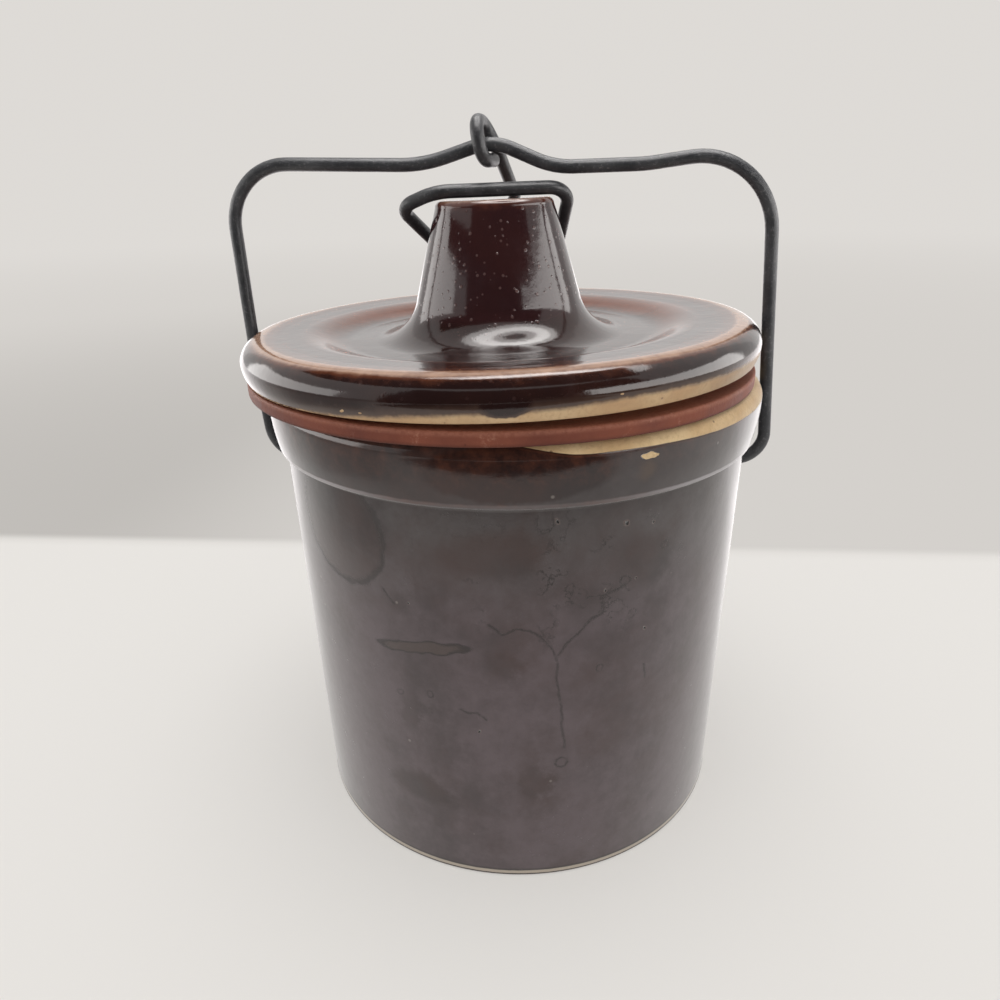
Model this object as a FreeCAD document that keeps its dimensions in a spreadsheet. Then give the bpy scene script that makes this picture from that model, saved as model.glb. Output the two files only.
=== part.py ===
import FreeCAD, Part
import math
import os
import Sketcher
from FreeCAD import Placement, Rotation, Vector

# A glazed stoneware cheese crock, shut: a straight jar with a collar and a bare clay rim, a rubber ring,
# a thick lid with a tapered knob, a wire bail hooked into two holes in the jar, and a wire latch that
# hangs on the bail and presses on the knob.
# Millimetres. The origin is on the jar's axis in its base, +Z is up, the front is -Y, and the bail stands
# in the XZ plane. The shut jar can't be seen into, so the jar is solid and the lid's plug fills the ring.

sizes = {
    # jar
    "bodyRadius": 48.0,        # just under the collar
    "bodyTaper": 1.6,          # the side is this much narrower at the foot
    "footChamfer": 0.4,
    "collarBase": 82.8,        # height of the bead where the collar starts
    "neckRound": 0.9,          # hollow between the side and the bead
    "beadRound": 0.6,
    "collarFlare": 0.9,        # the rim is this much wider than the bead
    "collarBulge": 34.0,       # radius of the collar's outward curve
    "collarRise": 7.9,         # from the bead to the end of the glaze
    "rimRound": 2.7,           # bare quarter round at the top of the rim
    "holeDrop": 9.0,           # holes for the bail, under the bead
    "holeDepth": 4.0,
    # rubber ring
    "ringThickness": 2.6,
    "ringOverhang": 0.5,       # past the rim, when centred
    "ringWidth": 11.0,
    "ringRound": 0.5,
    # lid, from the edge inwards and from the axis outwards
    "shiftX": -2.6,            # lid and ring sit off the jar's axis, to the left and forward
    "shiftY": -1.2,
    "lidTilt": 1.15,           # degrees, the right side is higher
    "edgeClearance": 0.13,     # ring to the lid's lower edge, at its lowest
    "lidOverhang": 1.2,        # past the rim, when centred
    "edgeInset": 0.9,          # the lower edge lies inside the widest line
    "edgeHeight": 3.55,        # lower edge to the widest line
    "edgeBulge": 6.4,
    "crestInset": 4.6,
    "crestHeight": 7.05,
    "crestBulge": 4.2,
    "slopeDrop": 0.4,          # the broad band inside the crest falls this much
    "troughStep": 1.1,         # each half of the slope into the trough round the knob
    "troughSide": 5.0,
    "troughBulge": 11.9,
    "troughFlat": 4.5,
    "flareWidth": 8.8,         # from the trough up to the knob's cone
    "flareRise": 6.5,
    "flareBulge": 9.2,
    "coneTaper": 5.0,
    "coneRise": 17.7,
    "knobRadius": 11.7,        # at the top of the cone
    "knobRound": 1.2,
    "seatWidth": 6.2,          # of the ring, under the lid
    "plugClearance": 0.4,
    # wire
    "wireRadius": 1.3,
    "wireClearance": 0.25,
    "leftSlack": 0.6,          # bail's legs to the lid's edge, beyond the clearance
    "rightSlack": 1.45,
    "humpX": -3.4,             # the bail's hump, where the latch hangs
    "humpRise": 3.6,
    "latchRise": 8.2,          # from the latch's bar to the bail's hump
    "eyeSlack": 0.65,          # the latch's eye round the bail, beyond the clearance
}

# Corners of the bail from the left hole to the right one: across, up, bend radius.
bailCorners = {
    "leftFoot": (1.9, 0.0, 7.0),           # from the left leg, level with the holes
    "leftKnee": (0.5, 23.5, 30.0),
    "leftShoulder": (0.1, 1.1, 11.8),      # from the left leg and the bail's flat height
    "humpStart": (-13.6, 0.0, 30.0),       # from the hump and the flat height
    "humpCrown": (0.0, 0.4, 11.0),         # from the hump
    "humpEnd": (11.7, -0.9, 18.0),
    "flatEnd": (29.0, -0.7, 40.0),
    "rightShoulder": (-3.0, 2.1, 14.5),    # from the right leg
    "rightFoot": (1.7, 0.0, 5.6),
}

# Corners of the latch from the open eye to the free end: across, back, up, bend radius.
latchCorners = {
    "eyeTip": (0.0, 1.6, -0.15, 0.0),      # under the bail's hump
    "eyeFront": (-1.7, -0.3, -0.3, 2.8),
    "eyeTop": (-2.9, 0.0, 0.25, 3.1),
    "eyeBack": (-2.0, -0.2, 0.35, 3.0),
    "eyeFoot": (0.5, 0.7, -0.9, 4.0),
    "stemFoot": (2.8, 2.0, -0.7, 4.0),     # behind the knob
    "legTurn": (4.0, 4.4, -9.2, 3.4),
    "legCorner": (12.2, -0.7, -11.2, 3.6),
    "barRight": (1.4, 1.8, 0.25, 4.2),     # outside the knob
    "barMiddle": (2.4, -3.5, -0.15, 10.0),
    "barLeft": (-5.1, -1.2, -2.9, 3.4),
    "endTurn": (-11.8, 1.2, -12.9, 5.0),   # behind the knob
    "freeEnd": (-0.8, 5.2, -13.9, 0.0),
}

for corner, (across, up, bend) in bailCorners.items():
    sizes.update({corner + "Across": across, corner + "Up": up, corner + "Bend": bend})
for corner, (across, back, up, bend) in latchCorners.items():
    sizes.update({corner + "Across": across, corner + "Back": back, corner + "Up": up, corner + "Bend": bend})

doc = FreeCAD.newDocument("CheeseCrock")
sheet = doc.addObject("Spreadsheet::Sheet", "Dims")
for row, (name, value) in enumerate(sizes.items(), start=1):
    sheet.set("A%d" % row, name)
    sheet.set("B%d" % row, str(value))
    sheet.setAlias("B%d" % row, name)
doc.recompute()


# The sum of named sizes. A leading minus sign subtracts one.
def size(*names):
    total = 0.0
    for name in names:
        cell = float(sheet.get(name.lstrip("-")))
        total += -cell if name.startswith("-") else cell
    return total


# The same sum as an expression of the document.
def formula(*names):
    text = ""
    for name in names:
        sign = " - " if name.startswith("-") else " + "
        text += sign + "Dims." + name.lstrip("-")
    return text[3:] if text.startswith(" + ") else text


glazeEnd = ("collarBase", "collarRise")
rimTop = glazeEnd + ("rimRound",)
bead = ("bodyRadius", "neckRound", "beadRound")
rim = bead + ("collarFlare",)
ringOuter = rim + ("ringOverhang",)
ringInner = ringOuter + ("-ringWidth",)
lidRadius = rim + ("lidOverhang",)
edge = lidRadius + ("-edgeInset",)
trough = ("crestHeight", "-slopeDrop", "-troughStep", "-troughStep")
coneFoot = trough + ("flareRise",)
coneTop = coneFoot + ("coneRise",)
knobTop = coneTop + ("knobRound",)
cone = ("knobRadius", "coneTaper")
flare = cone + ("flareWidth",)
troughOuter = flare + ("troughFlat",)
slopeStart = troughOuter + ("troughSide", "troughSide")
pivot = ("collarBase", "-holeDrop")

# Ring to the lid's lower edge on the axis: the leaning edge stays clear of the ring all round.
gapRow = len(sizes) + 1
sheet.set("A%d" % gapRow, "lidGap")
sheet.set("B%d" % gapRow, "=edgeClearance + (%s) * sin(lidTilt * 1deg)" % formula(*edge).replace("Dims.", ""))
sheet.setAlias("B%d" % gapRow, "lidGap")
doc.recompute()


def newBody(label):
    body = doc.addObject("PartDesign::Body", label)
    body.Label = label
    return body


# A sketch on one of the body's own origin planes.
def newSketch(body, name, role):
    sketch = body.newObject("Sketcher::SketchObject", name)
    for feature in body.Origin.OriginFeatures:
        if feature.Role == role:
            sketch.AttachmentSupport = [(feature, "")]
    sketch.MapMode = "FlatFace"
    doc.recompute()
    return sketch


# Holds a point of the sketch at two sums of sizes. An empty sum is the axis.
def pin(sketch, number, end, across, up):
    for kind, axis, names in (("DistanceX", -2, across), ("DistanceY", -1, up)):
        if names:
            fixed = sketch.addConstraint(Sketcher.Constraint(kind, -1, 1, number, end, size(*names)))
            sketch.setExpression("Constraints[%d]" % fixed, formula(*names))
        else:
            sketch.addConstraint(Sketcher.Constraint("PointOnObject", number, end, axis))


def setRadius(sketch, number, names):
    fixed = sketch.addConstraint(Sketcher.Constraint("Radius", number, size(*names)))
    sketch.setExpression("Constraints[%d]" % fixed, formula(*names))


# The short arc between two points, its centre left of the way for a positive radius.
def addArc(sketch, start, end, radius):
    chord = end - start
    reach = math.sqrt(radius * radius - chord.Length * chord.Length / 4)
    left = Vector(-chord.y, chord.x, 0).normalize()
    centre = (start + end) * 0.5 + left * math.copysign(reach, radius)
    first, last = (start, end) if radius > 0 else (end, start)
    begins = math.atan2(first.y - centre.y, first.x - centre.x)
    stops = math.atan2(last.y - centre.y, last.x - centre.x)
    if stops < begins:
        stops += 2 * math.pi
    circle = Part.Circle(centre, Vector(0, 0, 1), abs(radius))
    return sketch.addGeometry(Part.ArcOfCircle(circle, begins, stops), False)


# Closes a profile. A corner is (across, up) or (across, up, radius of the arc to the next corner).
def drawOutline(sketch, corners):
    points = [Vector(size(*corner[0]), size(*corner[1]), 0) for corner in corners]
    edges = []
    for index, corner in enumerate(corners):
        start = points[index]
        end = points[(index + 1) % len(points)]
        if len(corner) == 2:
            number = sketch.addGeometry(Part.LineSegment(start, end), False)
            edges.append((number, 1, 2))
            continue
        backwards = corner[2].startswith("-")
        radiusName = corner[2].lstrip("-")
        number = addArc(sketch, start, end, -size(radiusName) if backwards else size(radiusName))
        edges.append((number, 2, 1) if backwards else (number, 1, 2))
    for index, edge in enumerate(edges):
        following = edges[(index + 1) % len(edges)]
        sketch.addConstraint(Sketcher.Constraint("Coincident", edge[0], edge[2], following[0], following[1]))
    for edge, corner in zip(edges, corners):
        pin(sketch, edge[0], edge[1], corner[0], corner[1])
        if len(corner) == 3:
            setRadius(sketch, edge[0], (corner[2].lstrip("-"),))
    doc.recompute()


def drawDisc(sketch, radius, across=(), up=()):
    centre = Vector(size(*across), size(*up), 0)
    number = sketch.addGeometry(Part.Circle(centre, Vector(0, 0, 1), size(*radius)), False)
    pin(sketch, number, 3, across, up)
    setRadius(sketch, number, radius)
    doc.recompute()


def turn(body, sketch):
    revolution = body.newObject("PartDesign::Revolution", sketch.Name + "Turned")
    revolution.Profile = sketch
    revolution.ReferenceAxis = (sketch, ["V_Axis"])
    revolution.Angle = 360
    doc.recompute()


def raiseDisc(body, name, radius, bottom, height):
    sketch = newSketch(body, name, "XY_Plane")
    drawDisc(sketch, radius)
    if bottom:
        sketch.setExpression("AttachmentOffset.Base.z", formula(*bottom))
    pad = body.newObject("PartDesign::Pad", name + "Pad")
    pad.Profile = sketch
    pad.setExpression("Length", formula(*height))
    doc.recompute()


# Puts a body off the jar's axis at a height.
def seat(body, height):
    body.setExpression("Placement.Base.x", formula("shiftX"))
    body.setExpression("Placement.Base.y", formula("shiftY"))
    body.setExpression("Placement.Base.z", formula(*height))
    doc.recompute()


def makeCrock():
    body = newBody("crock")
    profile = newSketch(body, "crockProfile", "XZ_Plane")
    foot = ("bodyRadius", "-bodyTaper")
    drawOutline(profile, [
        ((), ()),
        (foot + ("-footChamfer",), ()),
        (foot, ("footChamfer",)),
        (("bodyRadius",), ("collarBase", "-beadRound", "-neckRound"), "-neckRound"),
        (("bodyRadius", "neckRound"), ("collarBase", "-beadRound"), "beadRound"),
        (bead, ("collarBase",), "collarBulge"),
        (rim, glazeEnd, "rimRound"),
        (rim + ("-rimRound",), rimTop),
        ((), rimTop),
    ])
    turn(body, profile)
    for side, name in ((-1, "leftHole"), (1, "rightHole")):
        sketch = newSketch(body, name, "YZ_Plane")
        floor = formula("bodyRadius", "-holeDepth")
        sketch.setExpression("AttachmentOffset.Base.z", "%d * (%s)" % (side, floor))
        drawDisc(sketch, ("wireRadius", "wireClearance"), (), pivot)
        before = body.Shape.Volume
        pocket = body.newObject("PartDesign::Pocket", name + "Pocket")
        pocket.Profile = sketch
        pocket.setExpression("Length", formula("holeDepth", "holeDepth"))
        pocket.Reversed = side > 0
        doc.recompute()
        if body.Shape.Volume >= before:
            raise RuntimeError(name + " cuts nothing")
    return body


def makeGasket():
    body = newBody("gasket")
    profile = newSketch(body, "gasketProfile", "XZ_Plane")
    drawOutline(profile, [
        (ringInner, ()),
        (ringOuter + ("-ringRound",), (), "ringRound"),
        (ringOuter, ("ringRound",)),
        (ringOuter, ("ringThickness", "-ringRound"), "ringRound"),
        (ringOuter + ("-ringRound",), ("ringThickness",)),
        (ringInner, ("ringThickness",)),
    ])
    turn(body, profile)
    seat(body, rimTop)
    return body


# The turned lid leans on the ring, while its seat and its plug stay level.
def makeLid():
    body = newBody("lid")
    profile = newSketch(body, "lidProfile", "XZ_Plane")
    profile.setExpression("AttachmentOffset.Base.y", formula("ringThickness", "lidGap"))
    profile.setExpression("AttachmentOffset.Rotation.Angle", formula("lidTilt"))
    drawOutline(profile, [
        ((), ()),
        (edge, (), "edgeBulge"),
        (lidRadius, ("edgeHeight",), "crestBulge"),
        (lidRadius + ("-crestInset",), ("crestHeight",)),
        (slopeStart, ("crestHeight", "-slopeDrop"), "troughBulge"),
        (slopeStart + ("-troughSide",), ("crestHeight", "-slopeDrop", "-troughStep"), "-troughBulge"),
        (troughOuter, trough),
        (flare, trough, "-flareBulge"),
        (cone, coneFoot),
        (("knobRadius",), coneTop, "knobRound"),
        (("knobRadius", "-knobRound"), knobTop),
        ((), knobTop),
    ])
    turn(body, profile)
    raiseDisc(body, "lidSeat", ringInner + ("seatWidth",), ("ringThickness",), ("lidGap", "lidGap"))
    raiseDisc(body, "lidPlug", ringInner + ("-plugClearance",), (), ("ringThickness", "lidGap"))
    seat(body, rimTop)
    return body


# A round wire along straight runs joined by arcs. A stop of the route is (place, bend radius).
def bendWire(label, route):
    edges = []
    start = route[0][0]
    for (before, _), (corner, bend), (after, _) in zip(route, route[1:], route[2:]):
        arriving = (corner - before).normalize()
        leaving = (after - corner).normalize()
        half = arriving.getAngle(leaving) / 2
        reach = bend * math.tan(half)
        inward = (leaving - arriving).normalize()
        arcStart = corner - arriving * reach
        arcMiddle = corner + inward * (bend / math.cos(half) - bend)
        arcEnd = corner + leaving * reach
        if (arcStart - start).dot(arriving) <= 0:
            raise RuntimeError("%s: the bend at %s has no room" % (label, corner))
        edges.append(Part.LineSegment(start, arcStart).toShape())
        edges.append(Part.Arc(arcStart, arcMiddle, arcEnd).toShape())
        start = arcEnd
    end = route[-1][0]
    if (end - start).dot(leaving) <= 0:
        raise RuntimeError("%s: the last bend has no room" % label)
    edges.append(Part.LineSegment(start, end).toShape())
    path = Part.Wire(edges)
    direction = (route[1][0] - route[0][0]).normalize()
    section = Part.Wire([Part.Circle(route[0][0], direction, size("wireRadius")).toShape()])
    solid = path.makePipeShell([section], True, False, 1)
    print(label, "length %.1f" % path.Length, "volume %.1f" % solid.Volume,
          "of %.1f" % (path.Length * math.pi * size("wireRadius") ** 2))
    wire = doc.addObject("Part::Feature", label)
    wire.Label = label
    wire.Shape = solid
    return wire


touching = size("wireRadius", "wireRadius", "wireClearance")
barHeight = size(*rimTop, *("ringThickness", "lidGap"), *knobTop, "wireRadius", "wireClearance")
humpHeight = barHeight + size("latchRise")
hump = Vector(size("humpX"), 0, humpHeight)


# From the left hole up the left leg, over the lid with a hump in the middle, and down to the right.
def makeBail():
    beside = size(*lidRadius, "wireClearance", "wireRadius")
    left = size("shiftX", "-leftSlack") - beside
    right = size("shiftX", "rightSlack") + beside
    tip = size("bodyRadius", "-holeDepth", "wireClearance")
    low = size(*pivot)
    flat = hump.z - size("humpRise")
    origins = [(left, low), (left, low), (left, flat), (hump.x, flat), (hump.x, hump.z), (hump.x, flat),
               (hump.x, flat), (right, flat), (right, low)]
    route = [(Vector(-tip, 0, low), 0)]
    for corner, (x, z) in zip(bailCorners, origins):
        place = Vector(x + size(corner + "Across"), 0, z + size(corner + "Up"))
        route.append((place, size(corner + "Bend")))
    route.append((Vector(tip, 0, low), 0))
    return bendWire("bail", route)


# From the open eye round the bail down behind the knob, round its right side, over its top as the bar,
# and round its left side to the free end behind it.
def makeLatch():
    eye = touching + size("eyeSlack")
    lean = math.radians(size("lidTilt")) * size(*knobTop)
    knob = Vector(size("shiftX") - lean, size("shiftY"), barHeight)
    clear = size("knobRadius", "wireRadius", "wireClearance")
    under = hump - Vector(0, 0, touching)
    behind = knob + Vector(0, clear, 0)
    beside = Vector(clear, 0, 0)
    origins = [under, under - Vector(0, eye, 0), hump + Vector(0, -eye, eye), hump + Vector(0, eye, eye),
               hump + Vector(0, eye, 0), behind, behind, behind, knob + beside, knob - beside, knob - beside,
               behind, behind]
    route = []
    for corner, origin in zip(latchCorners, origins):
        offset = Vector(size(corner + "Across"), size(corner + "Back"), size(corner + "Up"))
        route.append((origin + offset, size(corner + "Bend")))
    return bendWire("latch", route)


parts = [makeCrock(), makeGasket(), makeLid(), makeBail(), makeLatch()]
doc.recompute()
for item in doc.Objects:
    if "Invalid" in item.State or "Error" in item.State:
        raise RuntimeError("%s failed" % item.Label)
for item in parts:
    if item.Shape.isNull() or not item.Shape.isValid() or len(item.Shape.Solids) != 1:
        raise RuntimeError("%s has no sound solid" % item.Label)
os.makedirs("parts", exist_ok=True)
for item in parts:
    item.Shape.exportStep("parts/%s.step" % item.Label)
    box = item.Shape.BoundBox
    print("%s: %.1f x %.1f x %.1f, volume %.0f" % (item.Label, box.XLength, box.YLength, box.ZLength,
                                                   item.Shape.Volume))
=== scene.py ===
# A shut stoneware cheese crock in brown glaze, with a rubber ring, a wire bail and a wire latch.
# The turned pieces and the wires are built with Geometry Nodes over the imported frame.
import math

import bmesh
import bpy
from mathutils import Matrix, Vector


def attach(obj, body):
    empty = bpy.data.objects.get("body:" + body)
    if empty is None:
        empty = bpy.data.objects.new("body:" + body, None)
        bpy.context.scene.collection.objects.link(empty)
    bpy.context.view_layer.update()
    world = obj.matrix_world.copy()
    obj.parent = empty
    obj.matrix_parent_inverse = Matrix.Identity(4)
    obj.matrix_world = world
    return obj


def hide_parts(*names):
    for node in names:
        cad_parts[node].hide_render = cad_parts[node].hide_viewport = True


mm = 0.001
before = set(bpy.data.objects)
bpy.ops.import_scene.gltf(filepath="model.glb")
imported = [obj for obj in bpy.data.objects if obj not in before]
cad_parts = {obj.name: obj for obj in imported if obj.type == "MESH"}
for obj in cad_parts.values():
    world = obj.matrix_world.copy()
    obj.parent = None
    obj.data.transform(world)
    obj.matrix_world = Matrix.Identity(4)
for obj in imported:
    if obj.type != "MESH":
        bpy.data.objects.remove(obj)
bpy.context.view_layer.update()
print("frame loaded:", sorted(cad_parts))


# Small helpers for node trees.
class Wiring:
    def __init__(self, tree):
        self.tree = tree

    # Adds a node. Values may be numbers, colours or another node's socket; keys are socket names or numbers.
    def add(self, kind, values=None, **settings):
        made = self.tree.nodes.new(kind)
        for name, value in settings.items():
            setattr(made, name, value)
        for key, value in (values or {}).items():
            socket = made.inputs[key]
            if isinstance(value, bpy.types.NodeSocket):
                self.tree.links.new(value, socket)
            else:
                socket.default_value = value
        return made

    def math(self, operation, *values, clamp=False):
        made = self.add("ShaderNodeMath", dict(enumerate(values)), operation=operation, use_clamp=clamp)
        return made.outputs[0]

    def times(self, *values):
        product = values[0]
        for value in values[1:]:
            product = self.math("MULTIPLY", product, value)
        return product

    def vector(self, operation, *values):
        made = self.add("ShaderNodeVectorMath", dict(enumerate(values)), operation=operation)
        return made.outputs["Value" if operation in ("DOT_PRODUCT", "LENGTH") else "Vector"]

    def combine(self, x=0.0, y=0.0, z=0.0):
        return self.add("ShaderNodeCombineXYZ", {0: x, 1: y, 2: z}).outputs[0]

    def split(self, vector):
        return self.add("ShaderNodeSeparateXYZ", {0: vector}).outputs

    def noise(self, vector, scale, detail=3.0, roughness=0.55):
        return self.add("ShaderNodeTexNoise", {"Vector": vector, "Scale": scale, "Detail": detail,
                                               "Roughness": roughness}).outputs["Fac"]

    # a noise between -0.5 and 0.5, times a reach
    def sway(self, vector, scale, reach, detail=3.0, roughness=0.55):
        return self.times(self.math("SUBTRACT", self.noise(vector, scale, detail, roughness), 0.5), reach)

    # 0 below the first number and 1 above the second, with a soft shoulder
    def ramp(self, value, low, high, start=0.0, end=1.0):
        limits = {"Value": value, "From Min": low, "From Max": high, "To Min": start, "To Max": end}
        return self.add("ShaderNodeMapRange", limits, interpolation_type="SMOOTHSTEP").outputs["Result"]

    # between two colours
    def mix(self, share, first, second):
        return self.add("ShaderNodeMix", {0: share, 6: first, 7: second}, data_type="RGBA").outputs[2]

    # between two numbers
    def blend(self, share, first, second):
        return self.add("ShaderNodeMix", {0: share, 2: first, 3: second}).outputs[0]

    def lowest(self, values):
        found = values[0]
        for value in values[1:]:
            found = self.math("MINIMUM", found, value)
        return found

    def highest(self, values):
        found = values[0]
        for value in values[1:]:
            found = self.math("MAXIMUM", found, value)
        return found


def rgb(red, green, blue):
    return (red, green, blue, 1.0)


# An empty node group with named sockets, its helper, its input node and its output node.
def newGroup(name, kind, inputs, outputs):
    tree = bpy.data.node_groups.new(name, kind)
    for socketName, socketType, value in inputs:
        socket = tree.interface.new_socket(socketName, in_out="INPUT", socket_type=socketType)
        if value is not None:
            socket.default_value = value
    for socketName, socketType in outputs:
        tree.interface.new_socket(socketName, in_out="OUTPUT", socket_type=socketType)
    wiring = Wiring(tree)
    return tree, wiring, wiring.add("NodeGroupInput"), wiring.add("NodeGroupOutput")


# A turned piece: a profile goes once round the axis.
def buildTurningTree():
    tree, w, given, result = newGroup("turnedPiece", "GeometryNodeTree", [
        ("Profile", "NodeSocketGeometry", None),
        ("Segments", "NodeSocketInt", 256),
        ("Unevenness", "NodeSocketFloat", 0.0),
        ("Waviness", "NodeSocketFloat", 40.0),
        ("Still Below", "NodeSocketFloat", 0.0),
        ("Seed", "NodeSocketFloat", 1.0),
        ("Material", "NodeSocketMaterial", None),
    ], [("Geometry", "NodeSocketGeometry")])
    size = w.add("GeometryNodeAttributeDomainSize", {"Geometry": given.outputs["Profile"]})
    count = size.outputs["Point Count"]
    rounds = w.math("ADD", given.outputs["Segments"], 1.0)
    grid = w.add("GeometryNodeMeshGrid", {"Size X": 1.0, "Size Y": 1.0, "Vertices X": count,
                                          "Vertices Y": rounds})
    place = w.split(w.add("GeometryNodeInputPosition").outputs[0])
    steps = w.math("SUBTRACT", count, 1.0)
    row = w.math("ROUND", w.times(w.math("ADD", place[0], 0.5), steps))
    angle = w.times(w.math("ADD", place[1], 0.5), 2 * math.pi)

    def sampled(field, kind):
        made = w.add("GeometryNodeSampleIndex", data_type=kind, domain="POINT")
        w.tree.links.new(given.outputs["Profile"], made.inputs["Geometry"])
        w.tree.links.new(field, made.inputs["Value"])
        w.tree.links.new(row, made.inputs["Index"])
        return made.outputs[0]

    along = w.split(sampled(w.add("GeometryNodeInputPosition").outputs[0], "FLOAT_VECTOR"))
    thin = w.add("GeometryNodeInputNamedAttribute", {"Name": "thin"}, data_type="FLOAT")
    thinHere = sampled(thin.outputs["Attribute"], "FLOAT")
    sine = w.math("SINE", angle)
    cosine = w.math("COSINE", angle)
    ideal = w.combine(w.times(along[0], cosine), w.times(along[0], sine), along[2])
    seeded = w.vector("ADD", ideal, w.combine(given.outputs["Seed"], 0.0, 0.0))
    broad = w.noise(seeded, given.outputs["Waviness"], 1.0)
    # the turned rings left by the potter's rib follow the height, not the angle
    ribs = w.noise(w.combine(along[0], along[0], w.times(along[2], 4.0)),
                   w.times(given.outputs["Waviness"], 1.6), 2.0)
    depth = w.math("ADD", w.times(broad, 0.75), w.times(ribs, 0.25))
    free = w.math("GREATER_THAN", along[2], given.outputs["Still Below"])
    inward = w.times(w.times(depth, given.outputs["Unevenness"]), free)
    offAxis = w.math("GREATER_THAN", along[0], 0.0005)
    radius = w.math("SUBTRACT", along[0], w.times(inward, offAxis))
    height = w.math("SUBTRACT", along[2], w.times(inward, 0.7))
    moved = w.combine(w.times(radius, cosine), w.times(radius, sine), height)
    kept = w.add("GeometryNodeStoreNamedAttribute", {"Geometry": grid.outputs["Mesh"], "Name": "thin",
                                                     "Value": thinHere}, data_type="FLOAT", domain="POINT")
    turned = w.add("GeometryNodeSetPosition", {"Geometry": kept.outputs[0], "Position": moved})
    closed = w.add("GeometryNodeMergeByDistance", {"Geometry": turned.outputs[0], "Distance": 0.000004})
    smooth = w.add("GeometryNodeSetShadeSmooth", {"Geometry": closed.outputs[0]})
    real = w.add("GeometryNodeRealizeInstances", {"Geometry": smooth.outputs[0]})
    finish = w.add("GeometryNodeSetMaterial", {"Geometry": real.outputs[0],
                                               "Material": given.outputs["Material"]})
    w.tree.links.new(finish.outputs[0], result.inputs[0])
    return tree


# A bent wire: corners joined by bends, one bend radius at each corner.
def buildWireTree():
    tree, w, given, result = newGroup("bentWire", "GeometryNodeTree", [
        ("Corners", "NodeSocketGeometry", None),
        ("Radius", "NodeSocketFloat", 0.0013),
        ("Step", "NodeSocketFloat", 0.0006),
        ("Unevenness", "NodeSocketFloat", 0.0),
        ("Sides", "NodeSocketInt", 24),
        ("Material", "NodeSocketMaterial", None),
    ], [("Geometry", "NodeSocketGeometry")])
    line = w.add("GeometryNodeMeshToCurve", {"Mesh": given.outputs["Corners"]})
    bend = w.add("GeometryNodeInputNamedAttribute", {"Name": "bend"}, data_type="FLOAT")
    rounded = w.add("GeometryNodeFilletCurve", {"Curve": line.outputs[0], "Count": 14,
                                                "Radius": bend.outputs["Attribute"]}, mode="POLY")
    even = w.add("GeometryNodeResampleCurve", {"Curve": rounded.outputs[0], "Length": given.outputs["Step"]},
                 mode="LENGTH")
    here = w.add("GeometryNodeInputPosition").outputs[0]
    shake = w.add("ShaderNodeTexNoise", {"Vector": here, "Scale": 90.0, "Detail": 1.0})
    offset = w.vector("SCALE", w.vector("SUBTRACT", shake.outputs["Color"], (0.5, 0.5, 0.5)))
    w.tree.links.new(given.outputs["Unevenness"], offset.node.inputs["Scale"])
    bent = w.add("GeometryNodeSetPosition", {"Geometry": even.outputs[0], "Offset": offset})
    section = w.add("GeometryNodeCurvePrimitiveCircle", {"Resolution": given.outputs["Sides"],
                                                         "Radius": given.outputs["Radius"]})
    tube = w.add("GeometryNodeCurveToMesh", {"Curve": bent.outputs[0], "Profile Curve": section.outputs[0],
                                             "Fill Caps": True})
    smooth = w.add("GeometryNodeSetShadeSmooth", {"Geometry": tube.outputs[0]})
    real = w.add("GeometryNodeRealizeInstances", {"Geometry": smooth.outputs[0]})
    finish = w.add("GeometryNodeSetMaterial", {"Geometry": real.outputs[0],
                                               "Material": given.outputs["Material"]})
    w.tree.links.new(finish.outputs[0], result.inputs[0])
    return tree


# Runs a node tree over a source mesh and returns a plain mesh object at the origin.
def growPiece(name, source, tree, settings, place=None):
    maker = bpy.data.objects.new(name + "Source", source)
    bpy.context.scene.collection.objects.link(maker)
    modifier = maker.modifiers.new("grow", "NODES")
    modifier.node_group = tree
    for item in tree.interface.items_tree:
        if item.item_type == "SOCKET" and item.in_out == "INPUT" and item.name in settings:
            modifier[item.identifier] = settings[item.name]
    bpy.context.view_layer.update()
    evaluated = maker.evaluated_get(bpy.context.evaluated_depsgraph_get())
    mesh = bpy.data.meshes.new_from_object(evaluated)
    maker.modifiers.remove(modifier)
    bpy.data.objects.remove(maker)
    mesh.name = name
    if place is not None:
        place(mesh)
    work = bmesh.new()
    work.from_mesh(mesh)
    bmesh.ops.recalc_face_normals(work, faces=work.faces)
    work.to_mesh(mesh)
    work.free()
    piece = bpy.data.objects.new(name, mesh)
    bpy.context.scene.collection.objects.link(piece)
    print(name, "built:", len(mesh.polygons), "faces")
    return piece


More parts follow.
